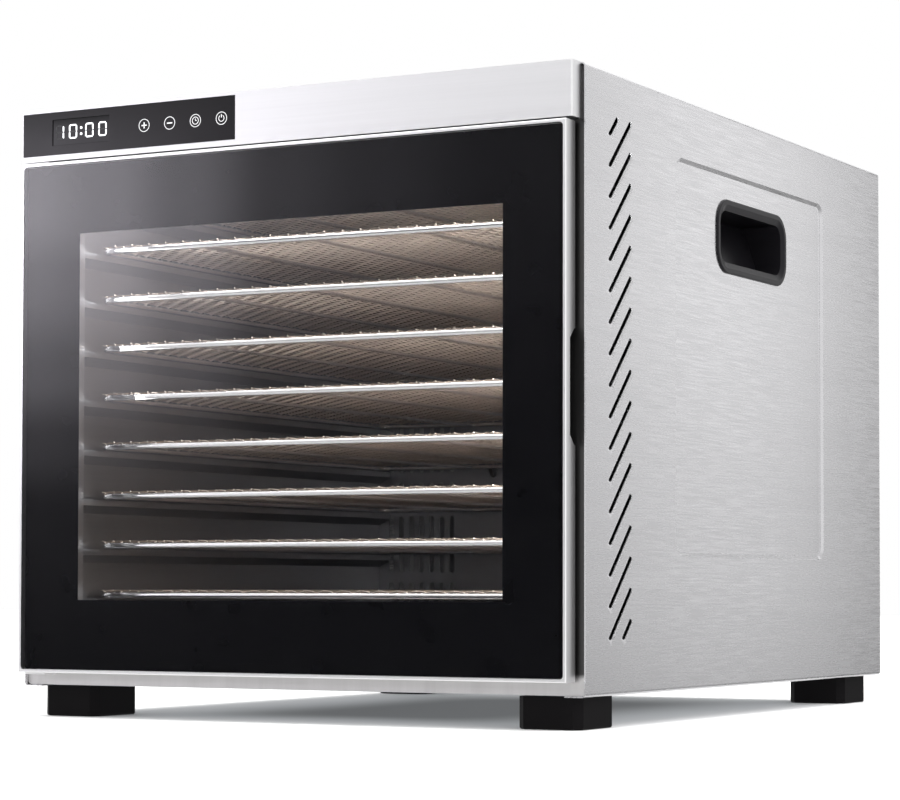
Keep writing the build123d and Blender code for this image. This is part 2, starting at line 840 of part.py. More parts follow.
def make_back_fittings():
    """Gland for the supply cord in the rear panel, and the terminal block behind it."""
    with BuildPart() as gland:
        rod(gland_x, gland_z, (back_y, back_y + gland_proud), gland_r + gland_flange)
        fillet(gland.faces().sort_by(Axis.Y)[-1].edges(), gland_edge)
        rod(gland_x, gland_z, (back_y - gland_inside, back_y), gland_r - fit_gap)
        rod(gland_x, gland_z, (back_y - gland_inside - through, back_y + gland_proud + through), cord_r,
            Mode.SUBTRACT)
    save(gland.part, "cord_gland")
    low = base_z + 2 * skin
    back = back_y - terminal_from_back
    with BuildPart() as terminals:
        block((gland_x - terminal_left, gland_x - terminal_left + terminal_width),
              (back - terminal_depth, back), (low, low + terminal_tall))
        for step in range(terminal_count):
            rod(gland_x - terminal_first + terminal_pitch * step, low + terminal_tall / 2,
                (back - terminal_depth - through, back + through), terminal_hole_r, Mode.SUBTRACT)
    save(terminals.part, "terminal_block")


def make_feet():
    """Four moulded feet with cut corners, and the screws that hold them to the base pan."""
    with BuildPart() as feet:
        with BuildSketch():
            with Locations(*foot_places):
                Rectangle(foot_width, foot_length)
        extrude(amount=foot_height)
        chamfer(feet.edges().filter_by(Axis.Z), foot_corner)
        fillet(feet.faces().filter_by(Axis.Z).group_by(Axis.Z)[0].edges(), foot_edge)
        for x, y in foot_places:
            post(x, y, (0, foot_screw_sunk + foot_screw_head), foot_screw_head_r + fit_gap, Mode.SUBTRACT)
            post(x, y, (0, foot_height), foot_screw_r + fit_gap, Mode.SUBTRACT)
    save(feet.part, "feet")
    with BuildPart() as screws:
        for x, y in foot_places:
            post(x, y, (foot_screw_sunk, foot_screw_sunk + foot_screw_head), foot_screw_head_r)
            post(x, y, (foot_screw_sunk, base_z + 2 * skin + foot_screw_run_out), foot_screw_r)
    save(screws.part, "foot_screws")


def make_door_frame():
    """Folded door tray: a rim for the glass, a web with the window, side walls and a finger notch."""
    behind_web = (web_front + door_wall, door_back + 1)
    bush_wall_x = hinge_x + bush_r + door_wall
    with BuildPart() as frame:
        block((-door_half, door_half), (door_front, door_back), (door_low, door_high))
        fillet(frame.edges().filter_by(Axis.Z).group_by(Axis.Y)[-1], door_corner)
        fillet(frame.faces().sort_by(Axis.Y)[0].edges(), door_edge)
        inner = door_half - door_rim
        with BuildSketch(facing(door_front)):
            with Locations((0, window_mid_z)):
                RectangleRounded(2 * inner, door_high - door_low - 2 * door_rim, door_corner)
        extrude(amount=-(web_front - door_front), mode=Mode.SUBTRACT)
        block((-door_half + door_wall, door_half - door_wall), behind_web,
              (door_low + bush_length, door_high - bush_length), mode=Mode.SUBTRACT)
        block((bush_wall_x, door_half - door_wall), behind_web, (door_low + door_wall, door_high - door_wall),
              mode=Mode.SUBTRACT)
        block((-inner_window(), inner_window()), (web_front - 1, web_front + door_wall + 1), window_z_pair(),
              mode=Mode.SUBTRACT)
        post(hinge_x, hinge_y, (door_low - 1, door_high + 1), bush_r + bush_press, Mode.SUBTRACT)
        with BuildSketch(flank(door_half)):
            with BuildLine():
                Polyline(*notch_outline(), close=True)
            make_face()
        extrude(amount=-2 * door_wall, both=True, mode=Mode.SUBTRACT)
    save(frame.part, "door_frame")


def inner_window():
    """Half the width of the steel openings behind the glass, a hem wider than the clear window."""
    return window_width / 2 + window_hem


def window_z_pair():
    """Bottom and top of the steel openings behind the glass."""
    half = window_tall / 2 + window_hem
    return (window_mid_z - half, window_mid_z + half)


def notch_outline():
    """Finger notch in the door's free edge, open to the back, with cut corners."""
    low = notch_mid_z - notch_tall / 2
    high = notch_mid_z + notch_tall / 2
    deep = door_back - notch_depth
    return [
        (door_back + 1, low),
        (deep + notch_chamfer, low),
        (deep, low + notch_chamfer),
        (deep, high - notch_chamfer),
        (deep + notch_chamfer, high),
        (door_back + 1, high),
    ]


def make_door_glass():
    """Clear pane over the whole door and the black border printed behind it."""
    pane_half = door_half - door_rim - fit_gap
    pane_tall = door_high - door_low - 2 * door_rim - 2 * fit_gap
    with BuildPart() as glass:
        with BuildSketch(facing(door_front + glass_sink)):
            with Locations((0, window_mid_z)):
                RectangleRounded(2 * pane_half, pane_tall, door_corner - fit_gap)
        extrude(amount=-glass_thickness)
    save(glass.part, "door_glass")
    with BuildPart() as border:
        with BuildSketch(facing(glass_back)):
            with Locations((0, window_mid_z)):
                RectangleRounded(2 * pane_half, pane_tall, door_corner - fit_gap)
                Rectangle(window_width, window_tall, mode=Mode.SUBTRACT)
        extrude(amount=-border_thickness)
    save(border.part, "glass_border")


def make_door_inner_panel():
    """Inner sheet that closes the door's back, with a sleeve round the window and room for fingers."""
    half = door_half - door_wall - fit_gap
    low = door_low + door_wall + fit_gap
    high = door_high - door_wall - fit_gap
    sleeve_front = web_front + door_wall + fit_gap
    window_low, window_high = window_z_pair()
    with BuildPart() as panel:
        block((-half, half), (door_back - skin, door_back), (low, high))
        block((-inner_window() - skin, inner_window() + skin), (sleeve_front, door_back),
              (window_low - skin, window_high + skin))
        block((-inner_window(), inner_window()), (sleeve_front - 1, door_back + 1), (window_low, window_high),
              mode=Mode.SUBTRACT)
        block((half - notch_reach, half + 1), (sleeve_front, door_back + 1),
              (notch_mid_z - notch_tall / 2, notch_mid_z + notch_tall / 2), mode=Mode.SUBTRACT)
        for z_pair in ((low, door_low + bush_length + fit_gap), (door_high - bush_length - fit_gap, high)):
            block((-half, hinge_x + bush_r + door_wall + fit_gap), (door_back - 2, door_back + 1), z_pair,
                  mode=Mode.SUBTRACT)
    save(panel.part, "door_inner_panel")


def make_door_seal():
    """Silicone strip on the inner panel that closes on the front frame round the oven opening."""
    half_x = cavity_half + seal_reach
    low = max(floor_z - seal_reach, door_low + door_wall + fit_gap + seal_width)
    high = min(ceiling_z + seal_reach, door_high - door_wall - fit_gap - seal_width)
    with BuildPart() as seal:
        with BuildSketch(facing(door_back)):
            with Locations((0, (low + high) / 2)):
                RectangleRounded(2 * (half_x + seal_width), high - low + 2 * seal_width, 2 * seal_corner)
                RectangleRounded(2 * half_x, high - low, seal_corner, mode=Mode.SUBTRACT)
        extrude(amount=-seal_thickness)
    save(seal.part, "door_seal")


def make_door_bushes():
    """Two hinge bushes pressed into the door tray."""
    with BuildPart() as bushes:
        for z_pair in ((door_low, door_low + bush_length), (door_high - bush_length, door_high)):
            post(hinge_x, hinge_y, z_pair, bush_r)
        post(hinge_x, hinge_y, (door_low - 1, door_high + 1), pin_r + pin_clearance, Mode.SUBTRACT)
    save(bushes.part, "door_bushes")


def hinge_screw_places():
    """Two screws through each hinge plate's leg."""
    middles = (door_low + hinge_plate_tall / 2, door_high - hinge_plate_tall / 2)
    half = hinge_screw_spacing / 2
    return [(hinge_x + hinge_screw_in, z + step) for z in middles for step in (-half, half)]


def make_hinge_plate(end_z, towards, name):
    """Bent plate with a riveted pin; its leaf lies past the door's end and its leg on the front frame."""
    leaf_far = end_z + towards * (door_gap / 2 + hinge_leaf / 2)
    leaf_near = end_z + towards * (door_gap / 2 - hinge_leaf / 2)
    left = hinge_x - bush_r
    right = left + hinge_plate_width
    leg_end = end_z - towards * hinge_plate_tall
    with BuildPart() as plate:
        block((left, right), (hinge_y - bush_r, frame_y), sorted((leaf_near, leaf_far)))
        block((left, right), (frame_y - hinge_leg, frame_y), sorted((leaf_far, leg_end)))
        post(hinge_x, hinge_y, sorted((leaf_far, end_z - towards * (pin_length - 1))), pin_r)
        for x, z in hinge_screw_places():
            rod(x, z, (frame_y - 2 * hinge_leg, frame_y + 1), hinge_screw_r + fit_gap, Mode.SUBTRACT)
    save(plate.part, name)


def make_hinge_screws():
    """Flush screws that hold the hinge plates to the front frame."""
    with BuildPart() as screws:
        for x, z in hinge_screw_places():
            rod(x, z, (frame_y - hinge_leg + hinge_screw_sunk, frame_y + hinge_screw_run), hinge_screw_r)
    save(screws.part, "hinge_screws")


def magnet_span():
    """Width and height ranges of the hole for the magnetic catch in the front frame."""
    inner_x = cavity_half + seal_reach + seal_width + catch_clear
    return ((inner_x, inner_x + catch_width), (catch_low_z, catch_low_z + catch_tall))


def make_catch():
    """Magnet in the front frame and the steel plate on the door that it holds."""
    x_pair, z_pair = magnet_span()
    with BuildPart() as magnet:
        block((x_pair[0] + fit_gap, x_pair[1] - fit_gap), (frame_y - catch_proud, frame_y + catch_depth),
              (z_pair[0] + fit_gap, z_pair[1] - fit_gap))
    save(magnet.part, "magnet_catch")
    with BuildPart() as plate:
        block((x_pair[0] + catch_plate_side, x_pair[1] - catch_plate_side),
              (door_back, door_back + catch_plate_thickness),
              (z_pair[0] + catch_plate_end, z_pair[1] - catch_plate_end))
    save(plate.part, "catch_plate")


def make_trays():
    """Ten trays: a bent wire rim with support wires, and a mesh that lies on it."""
    support_z = tray_support_r - tray_wire_r
    mid_y = tray_mid_y
    half_length = tray_length / 2 - tray_wire_r
    half_width_line = tray_half_width - tray_wire_r
    with BuildPart() as rim:
        with BuildLine() as path:
            FilletPolyline(
                (half_width_line, mid_y - half_length),
                (half_width_line, mid_y + half_length),
                (-half_width_line, mid_y + half_length),
                (-half_width_line, mid_y - half_length),
                radius=tray_corner,
                close=True,
            )
        with BuildSketch(Plane(origin=path.line @ 0, z_dir=path.line % 0)):
            Circle(tray_wire_r)
        sweep()
        for share in range(1, tray_supports + 1):
            x = -half_width_line + 2 * half_width_line * share / (tray_supports + 1)
            rod(x, support_z, (mid_y - half_length, mid_y + half_length), tray_support_r)
    pitch_x = (2 * tray_half_width - mesh_bar) / mesh_columns
    pitch_y = (tray_length - mesh_bar) / mesh_rows
    with BuildPart() as mesh:
        with BuildSketch(Plane.XY.offset(tray_wire_r)):
            with Locations((0, mid_y)):
                RectangleRounded(2 * tray_half_width, tray_length, tray_corner + tray_wire_r)
                with GridLocations(pitch_x, pitch_y, mesh_columns, mesh_rows):
                    Rectangle(pitch_x - mesh_bar, pitch_y - mesh_bar, mode=Mode.SUBTRACT)
        extrude(amount=mesh_thickness)
    for number, tray_z in enumerate(tray_zs, start=1):
        save(rim.part.moved(Location((0, 0, tray_z))), f"tray_{number:02d}_rim")
        save(mesh.part.moved(Location((0, 0, tray_z))), f"tray_{number:02d}_mesh")


make_outer_wrap()
make_handle_cup(-1, "handle_cup_left")
make_handle_cup(1, "handle_cup_right")
make_base_pan()
make_rear_panel()
make_rear_screws()
make_front_frame()
make_fascia()
make_control_plate()
make_control_board()
make_power_board()
make_side_liner(-1, "side_liner_left")
make_side_liner(1, "side_liner_right")
make_floor_and_ceiling()
make_rear_baffle()
make_fan_grille()
make_motor_and_bracket()
make_impeller()
make_heater()
make_sensors()
make_back_fittings()
make_feet()
make_door_frame()
make_door_glass()
make_door_inner_panel()
make_door_seal()
make_door_bushes()
make_hinge_plate(door_high, 1, "hinge_plate_top")
make_hinge_plate(door_low, -1, "hinge_plate_bottom")
make_hinge_screws()
make_catch()
make_trays()
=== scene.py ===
"""Looks of a cabinet food dehydrator: brushed steel, a glass door, ten woven trays, fan and heater."""

import math

import bpy
import numpy as np
from mathutils import Matrix, Vector


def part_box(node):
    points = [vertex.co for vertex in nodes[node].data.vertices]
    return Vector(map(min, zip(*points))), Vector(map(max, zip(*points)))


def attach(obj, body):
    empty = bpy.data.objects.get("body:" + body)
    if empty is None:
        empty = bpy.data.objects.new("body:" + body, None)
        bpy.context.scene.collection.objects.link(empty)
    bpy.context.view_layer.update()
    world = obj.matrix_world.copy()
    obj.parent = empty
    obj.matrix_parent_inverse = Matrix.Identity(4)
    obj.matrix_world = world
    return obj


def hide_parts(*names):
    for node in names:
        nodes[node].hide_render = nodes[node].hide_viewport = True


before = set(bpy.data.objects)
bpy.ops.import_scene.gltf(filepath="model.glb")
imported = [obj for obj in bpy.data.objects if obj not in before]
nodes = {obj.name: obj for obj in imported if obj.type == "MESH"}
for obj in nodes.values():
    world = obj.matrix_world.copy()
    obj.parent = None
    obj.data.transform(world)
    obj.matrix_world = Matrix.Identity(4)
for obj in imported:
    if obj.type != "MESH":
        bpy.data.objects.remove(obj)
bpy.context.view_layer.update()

# ---------------------------------------------------------------- camera
# A long lens, low and to the front right, so the door and the right side both show.
side_front_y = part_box("outer_wrap")[0].y
cabinet_low_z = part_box("outer_wrap")[0].z
camera_place = Vector((0.9256, side_front_y - 1.4978, cabinet_low_z + 0.0662))
camera_yaw, camera_pitch, camera_roll = (math.radians(a) for a in (28.44, 2.17, 0.1))
camera_data = bpy.data.cameras.new("camera")
camera_data.sensor_width = 36.0
camera_data.lens = 111.7
camera_data.shift_y = 0.0894
camera_data.clip_end = 60.0
camera = bpy.data.objects.new("camera", camera_data)
bpy.context.scene.collection.objects.link(camera)
turn = Matrix.Rotation(camera_yaw, 4, "Z") @ Matrix.Rotation(math.pi / 2 + camera_pitch, 4, "X")
camera.matrix_world = Matrix.Translation(camera_place) @ turn @ Matrix.Rotation(camera_roll, 4, "Z")
bpy.context.scene.camera = camera
bpy.context.scene.view_settings.view_transform = "Standard"


# ---------------------------------------------------------------- outer wrap
# One stainless sheet folded over the top and both sides, brushed from front to back before it was
# punched and pressed. The louvres are slit and pushed out, so each slit has a raised lip behind it.
def brushed_metal(name, colour, roughness, grain, streak=0.10, height=0.02, tone=0.05):
    """Metal with drawn-out streaks: grain is noise cycles per metre along X, Y and Z.
    Roughness = roughness + streak * (fine - 1/2); colour = colour * (1 + tone * (broad - 1/2))."""
    material = bpy.data.materials.new(name)
    material.use_nodes = True
    tree = material.node_tree
    shader = tree.nodes["Principled BSDF"]
    shader.inputs["Metallic"].default_value = 1.0
    place = tree.nodes.new("ShaderNodeTexCoord")
    stretch = tree.nodes.new("ShaderNodeMapping")
    stretch.inputs["Scale"].default_value = grain
    fine = tree.nodes.new("ShaderNodeTexNoise")
    fine.inputs["Scale"].default_value = 1.0
    fine.inputs["Detail"].default_value = 3.0
    broad = tree.nodes.new("ShaderNodeTexNoise")
    broad.inputs["Scale"].default_value = 0.13
    broad.inputs["Detail"].default_value = 2.0
    rough = tree.nodes.new("ShaderNodeMapRange")
    rough.inputs["To Min"].default_value = roughness - streak
    rough.inputs["To Max"].default_value = roughness + streak
    blend = tree.nodes.new("ShaderNodeMix")
    blend.data_type = "RGBA"
    blend.inputs["A"].default_value = (*[c * (1 - tone) for c in colour], 1)
    blend.inputs["B"].default_value = (*[min(1.0, c * (1 + tone)) for c in colour], 1)
    spread = tree.nodes.new("ShaderNodeMapRange")
    spread.inputs["From Min"].default_value = 0.3
    spread.inputs["From Max"].default_value = 0.7
    spread.inputs["To Min"].default_value = -0.25
    spread.inputs["To Max"].default_value = 0.25
    mixed = tree.nodes.new("ShaderNodeMath")
    mixed.operation = "MULTIPLY_ADD"
    mixed.inputs[1].default_value = 1.0
    bump = tree.nodes.new("ShaderNodeBump")
    bump.inputs["Strength"].default_value = 0.35
    bump.inputs["Distance"].default_value = height * 0.001
    link = tree.links.new
    link(place.outputs["Object"], stretch.inputs["Vector"])
    link(stretch.outputs["Vector"], fine.inputs["Vector"])
    link(stretch.outputs["Vector"], broad.inputs["Vector"])
    link(fine.outputs["Fac"], rough.inputs["Value"])
    link(rough.outputs["Result"], shader.inputs["Roughness"])
    link(fine.outputs["Fac"], mixed.inputs[0])
    link(broad.outputs["Fac"], spread.inputs["Value"])
    link(spread.outputs["Result"], mixed.inputs[2])
    link(mixed.outputs["Value"], blend.inputs["Factor"])
    link(blend.outputs["Result"], shader.inputs["Base Color"])
    link(fine.outputs["Fac"], bump.inputs["Height"])
    link(bump.outputs["Normal"], shader.inputs["Normal"])
    return material


def dress(material, *names):
    """Gives CAD nodes a finish in place of their plain one."""
    for name in names:
        slots = nodes[name].data.materials
        slots.clear()
        slots.append(material)


wrap_steel = brushed_metal("brushed_stainless_wrap", (0.66, 0.655, 0.67), 0.27, (850, 30, 850), streak=0.11,
                           height=0.012, tone=0.035)
dress(wrap_steel, "outer_wrap")


def surface_mesh(name, points, quads, material, body, smooth=True):
    """Puts arrays of points (n, 3) and four-cornered faces (m, 4) into a piece that rides on a body."""
    mesh = bpy.data.meshes.new(name)
    mesh.vertices.add(len(points))
    mesh.vertices.foreach_set("co", np.ascontiguousarray(points, np.float32).ravel())
    mesh.loops.add(quads.size)
    mesh.loops.foreach_set("vertex_index", np.ascontiguousarray(quads, np.int32).ravel())
    mesh.polygons.add(len(quads))
    mesh.polygons.foreach_set("loop_start", np.arange(0, quads.size, 4, dtype=np.int32))
    mesh.update(calc_edges=True)
    mesh.polygons.foreach_set("use_smooth", np.full(len(quads), smooth))
    mesh.materials.append(material)
    piece = bpy.data.objects.new(name, mesh)
    bpy.context.scene.collection.objects.link(piece)
    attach(piece, body)
    return piece


# ---------------------------------------------------------------- hand-hole cups
# Injection-moulded black cups snapped into the pressed panels; fine spark-eroded grain.
def moulded(name, colour, roughness, grain=2600.0, height=0.03, specular=0.5):
    """Moulded plastic or rubber: a fine noise of grain cycles per metre lifts the surface by height mm
    and spreads the roughness a little either side of its middle value."""
    material = bpy.data.materials.new(name)
    material.use_nodes = True
    tree = material.node_tree
    shader = tree.nodes["Principled BSDF"]
    shader.inputs["Specular IOR Level"].default_value = specular
    place = tree.nodes.new("ShaderNodeTexCoord")
    noise = tree.nodes.new("ShaderNodeTexNoise")
    noise.inputs["Scale"].default_value = grain
    noise.inputs["Detail"].default_value = 2.0
    wide = tree.nodes.new("ShaderNodeTexNoise")
    wide.inputs["Scale"].default_value = 40.0
    tint = tree.nodes.new("ShaderNodeMix")
    tint.data_type = "RGBA"
    tint.inputs["A"].default_value = (*[c * 0.85 for c in colour], 1)
    tint.inputs["B"].default_value = (*[min(1.0, c * 1.18) for c in colour], 1)
    rough = tree.nodes.new("ShaderNodeMapRange")
    rough.inputs["To Min"].default_value = roughness - 0.06
    rough.inputs["To Max"].default_value = roughness + 0.06
    bump = tree.nodes.new("ShaderNodeBump")
    bump.inputs["Strength"].default_value = 0.5
    bump.inputs["Distance"].default_value = height * 0.001
    link = tree.links.new
    link(place.outputs["Object"], noise.inputs["Vector"])
    link(place.outputs["Object"], wide.inputs["Vector"])
    link(wide.outputs["Fac"], tint.inputs["Factor"])
    link(tint.outputs["Result"], shader.inputs["Base Color"])
    link(noise.outputs["Fac"], rough.inputs["Value"])
    link(rough.outputs["Result"], shader.inputs["Roughness"])
    link(noise.outputs["Fac"], bump.inputs["Height"])
    link(bump.outputs["Normal"], shader.inputs["Normal"])
    return material


cup_plastic = moulded("black_cup_plastic", (0.007, 0.0065, 0.008), 0.3, specular=0.13)
dress(cup_plastic, "handle_cup_left", "handle_cup_right")

# ---------------------------------------------------------------- base, feet and back
# Zinc-plated pan, rubber-faced moulded feet, and a brushed rear sheet held by plated screws.
zinc_sheet = brushed_metal("zinc_sheet", (0.5, 0.52, 0.54), 0.45, (160, 160, 160), streak=0.12, tone=0.16)
dress(zinc_sheet, "base_pan", "motor_bracket")
foot_rubber = moulded("foot_rubber", (0.005, 0.0045, 0.005), 0.6, grain=1500.0, height=0.05, specular=0.05)
dress(foot_rubber, "feet")
back_steel = brushed_metal("brushed_stainless_back", (0.62, 0.62, 0.63), 0.36, (14, 900, 900))
dress(back_steel, "rear_panel")
plated = brushed_metal("plated_screw", (0.62, 0.62, 0.6), 0.28, (2000, 2000, 2000), tone=0.1)
dress(plated, "rear_screws", "foot_screws", "hinge_screws", "catch_plate", "motor_shaft")
gland_plastic = moulded("black_gland_plastic", (0.02, 0.02, 0.02), 0.45)
dress(gland_plastic, "cord_gland", "terminal_block", "thermal_cutout", "magnet_catch")

# ---------------------------------------------------------------- fascia and controls
# Bright stainless strip over the door; a glossy dark acrylic plate carries the printed touch keys and
# a smoked lens over white lit segments.
fascia_steel = brushed_metal("bright_stainless_fascia", (0.82, 0.82, 0.83), 0.34, (12, 900, 900), streak=0.06,
                             height=0.012, tone=0.03)
dress(fascia_steel, "fascia_panel")


def gloss(name, colour, roughness=0.06, specular=0.5):
    """Smooth glossy plastic with a very slight orange-peel swell from a wide noise."""
    material = bpy.data.materials.new(name)
    material.use_nodes = True
    tree = material.node_tree
    shader = tree.nodes["Principled BSDF"]
    shader.inputs["Base Color"].default_value = (*colour, 1)
    shader.inputs["Specular IOR Level"].default_value = specular
    place = tree.nodes.new("ShaderNodeTexCoord")
    swell = tree.nodes.new("ShaderNodeTexNoise")
    swell.inputs["Scale"].default_value = 45.0
    rough = tree.nodes.new("ShaderNodeMapRange")
    rough.inputs["To Min"].default_value = roughness * 0.7
    rough.inputs["To Max"].default_value = roughness * 1.3
    bump = tree.nodes.new("ShaderNodeBump")
    bump.inputs["Strength"].default_value = 0.1
    bump.inputs["Distance"].default_value = 0.00005
    link = tree.links.new
    link(place.outputs["Object"], swell.inputs["Vector"])
    link(swell.outputs["Fac"], rough.inputs["Value"])
    link(rough.outputs["Result"], shader.inputs["Roughness"])
    link(swell.outputs["Fac"], bump.inputs["Height"])
    link(bump.outputs["Normal"], shader.inputs["Normal"])
    return material


dress(gloss("black_acrylic", (0.006, 0.0055, 0.0065), 0.12, 0.16), "control_plate")
dress(gloss("smoked_lens", (0.002, 0.002, 0.0025), 0.05, 0.14), "display_window")


def lit(name, colour, strength):
    """Lit or printed white mark: glows a little so that it reads as lit; on a printed mark, which is no lamp,
    the glow is painted light.
    """
    material = bpy.data.materials.new(name)
    material.use_nodes = True
    tree = material.node_tree
    shader = tree.nodes["Principled BSDF"]
    shader.inputs["Base Color"].default_value = (*colour, 1)
    shader.inputs["Emission Color"].default_value = (*colour, 1)
    shader.inputs["Emission Strength"].default_value = strength
    shader.inputs["Roughness"].default_value = 0.5
    return material


def slabs(outlines, front, depth):
    """Flat bars seen from the front: each outline is (k, 2) corners in X and Z, extruded from front to
    front + depth. Returns points and four-cornered faces; every outline has an even number of corners
    and is closed by quads that pair its corners from both ends."""
    points, quads, start = [], [], 0
    for outline in outlines:
        outline = np.asarray(outline, float)
        count = len(outline)
        ring = np.zeros((2, count, 3))
        ring[:, :, 0] = outline[:, 0]
        ring[:, :, 2] = outline[:, 1]
        ring[0, :, 1] = front
        ring[1, :, 1] = front + depth
        points.append(ring.reshape(-1, 3))
        index = np.arange(count)
        after = (index + 1) % count
        quads.append(start + np.stack([index, index + count, after + count, after], axis=1))
        half = np.arange(count // 2 - 1)
        cap = np.stack([half, half + 1, count - 2 - half, count - 1 - half], axis=1)
        quads.append(start + cap)
        quads.append(start + count + cap[:, ::-1])
        start += 2 * count
    return np.concatenate(points), np.concatenate(quads)


lens_low, lens_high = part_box("display_window")
digit_tall, digit_wide, bar, digit_pitch = 0.0085, 0.0055, 0.00092, 0.0105
digits_mid_z = (lens_low.z + lens_high.z) / 2
digits_left = lens_low.x + 0.0056
colon_room, colon_dot_r, colon_half_gap = 0.0026, 0.00085, 0.002
digit_proud, unlit_proud, bar_sunk = 0.0002, 0.0001, 0.0001


def segment(x, z, along_x, length):
    """Six-cornered display segment centred on (x, z), pointed at both ends."""
    half, thick = length / 2, bar / 2
    shape = np.array([(-half, 0), (-half + thick, -thick), (half - thick, -thick),
                      (half, 0), (half - thick, thick), (-half + thick, thick)])
    if not along_x:
        shape = shape[::-1, ::-1]
    return shape + (x, z)


def digit(value, x):
    """Segments of a seven-segment digit whose middle is at x."""
    upright, level = digit_tall / 2 - bar * 0.35, digit_wide - bar * 0.35
    spots = {
        "a": (x, digits_mid_z + digit_tall / 2, True, level), "g": (x, digits_mid_z, True, level),
        "d": (x, digits_mid_z - digit_tall / 2, True, level),
        "f": (x - digit_wide / 2, digits_mid_z + digit_tall / 4, False, upright),
        "b": (x + digit_wide / 2, digits_mid_z + digit_tall / 4, False, upright),
        "e": (x - digit_wide / 2, digits_mid_z - digit_tall / 4, False, upright),
        "c": (x + digit_wide / 2, digits_mid_z - digit_tall / 4, False, upright),
    }
    lit_bars = {0: "abcdef", 1: "bc"}[value]
    return [segment(*spots[letter]) for letter in lit_bars], [
        segment(*spots[letter]) for letter in spots if letter not in lit_bars]


def dot(x, z, radius, count=12):
    """Round dot as an even-sided outline."""
    angle = np.linspace(0, 2 * np.pi, count, endpoint=False) + np.pi / count
    return np.stack([x + radius * np.cos(angle), z + radius * np.sin(angle)], axis=1)


bright_bars, dark_bars = [], []
digit_xs = [digits_left + digit_pitch * k + (colon_room if k > 1 else 0.0) for k in range(4)]
for value, x in zip((1, 0, 0, 0), digit_xs):
    on, off = digit(value, x)
    bright_bars += on
    dark_bars += off
colon_x = (digit_xs[1] + digit_xs[2]) / 2
bright_bars += [dot(colon_x, digits_mid_z + step, colon_dot_r) for step in (-colon_half_gap, colon_half_gap)]
lens_front = lens_low.y
glow_white = lit("display_white", (0.95, 0.97, 1.0), 0.85)
dim_segment = moulded("display_dim_segment", (0.02, 0.02, 0.022), 0.4)
digit_slabs = slabs(bright_bars, lens_front - digit_proud, digit_proud + bar_sunk)
digits = surface_mesh("display_digits", *digit_slabs, glow_white, "cabinet", False)
unlit_slabs = slabs(dark_bars, lens_front - unlit_proud, unlit_proud + bar_sunk)
unlit = surface_mesh("display_unlit_bars", *unlit_slabs, dim_segment, "cabinet", False)

plate_low, plate_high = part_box("control_plate")
key_z = (plate_low.z + plate_high.z) / 2
first_key, key_pitch = 0.0967, 0.01983
key_xs = [plate_low.x + first_key + key_pitch * k for k in range(4)]
ring_r, line, sign_length, sign_width = 0.0040, 0.0004, 0.004, 0.0008
print_proud, print_depth = 0.00008, 0.0001
print_front = plate_low.y - print_proud


def band(x, z, radius, start=0.0, end=360.0, width=line, steps=48):
    """Arc of constant width as a strip of four-cornered outlines."""
    turn_to = np.radians(np.linspace(start, end, steps + 1))
    inner, outer = radius - width / 2, radius + width / 2
    cosines, sines = np.cos(turn_to), np.sin(turn_to)
    corners = [np.stack([x + r * cosines, z + r * sines], axis=1) for r in (inner, outer)]
    near, far = corners
    return [np.array([near[k], far[k], far[k + 1], near[k + 1]]) for k in range(steps)]


def stroke(x, z, length, angle, width=line):
    """Straight printed line centred on (x, z), turned by an angle in degrees."""
    along = np.array([math.cos(math.radians(angle)), math.sin(math.radians(angle))])
    across = np.array([-along[1], along[0]])
    middle = np.array([x, z])
    corners = [(-1, -1), (1, -1), (1, 1), (-1, 1)]
    return np.array([middle + along * a * length / 2 + across * b * width / 2 for a, b in corners])


marks = []
for x in key_xs:
    marks += band(x, key_z, ring_r)
for x, angle in ((key_xs[0], 0), (key_xs[0], 90), (key_xs[1], 0)):
    marks.append(stroke(x, key_z, sign_length, angle, sign_width))
marks += band(key_xs[2], key_z, 0.0023, steps=24)
marks += [stroke(key_xs[2], key_z + 0.0007, 0.0014, 90), stroke(key_xs[2] + 0.0005, key_z, 0.001, 0)]
marks += band(key_xs[3], key_z, 0.002, 125, 415, steps=24)
marks += [stroke(key_xs[3], key_z + 0.0015, 0.0022, 90, 0.0005)]
# The key marks are white print; their slight glow (strength 0.12) is painted light.
print_white_painted_glow = lit("printed_white_painted_glow", (0.75, 0.75, 0.77), 0.12)
print_slabs = slabs(marks, print_front, print_depth)
prints = surface_mesh("touch_key_prints", *print_slabs, print_white_painted_glow, "cabinet", False)

# ---------------------------------------------------------------- oven space
# Stamped stainless liners with rolled ledges, plain floor and ceiling sheets, the slotted rear wall
# with its fan guard, and the frame that the door closes on.
liner_steel = brushed_metal("liner_stainless", (0.5, 0.5, 0.51), 0.36, (700, 18, 700), tone=0.08)
dress(liner_steel, "side_liner_left", "side_liner_right", "cavity_floor", "cavity_ceiling")
wall_steel = brushed_metal("rear_wall_stainless", (0.36, 0.36, 0.38), 0.4, (18, 700, 700), tone=0.08)
dress(wall_steel, "rear_baffle", "fan_grille")
frame_steel = brushed_metal("front_frame_stainless", (0.62, 0.61, 0.61), 0.42, (500, 500, 20), tone=0.06)


def shade_painted_above(material, height, share):
    """Colour times share above a height: painted shade on the part of a frame that the door gap shades, over
    its bare, lit bottom rail.
    """
    tree = material.node_tree
    colour = tree.nodes["Principled BSDF"].inputs["Base Color"]
    place = tree.nodes.new("ShaderNodeTexCoord")
    split = tree.nodes.new("ShaderNodeSeparateXYZ")
    fade = tree.nodes.new("ShaderNodeMapRange")
    fade.inputs["From Min"].default_value = height
    fade.inputs["From Max"].default_value = height + 0.003
    fade.inputs["To Min"].default_value = 1.0
    fade.inputs["To Max"].default_value = share
    scaled = tree.nodes.new("ShaderNodeVectorMath")
    scaled.operation = "SCALE"
    tree.links.new(place.outputs["Object"], split.inputs["Vector"])
    tree.links.new(split.outputs["Z"], fade.inputs["Value"])
    tree.links.new(colour.links[0].from_socket, scaled.inputs[0])
    tree.links.new(fade.outputs["Result"], scaled.inputs["Scale"])
    tree.links.new(scaled.outputs["Vector"], colour)
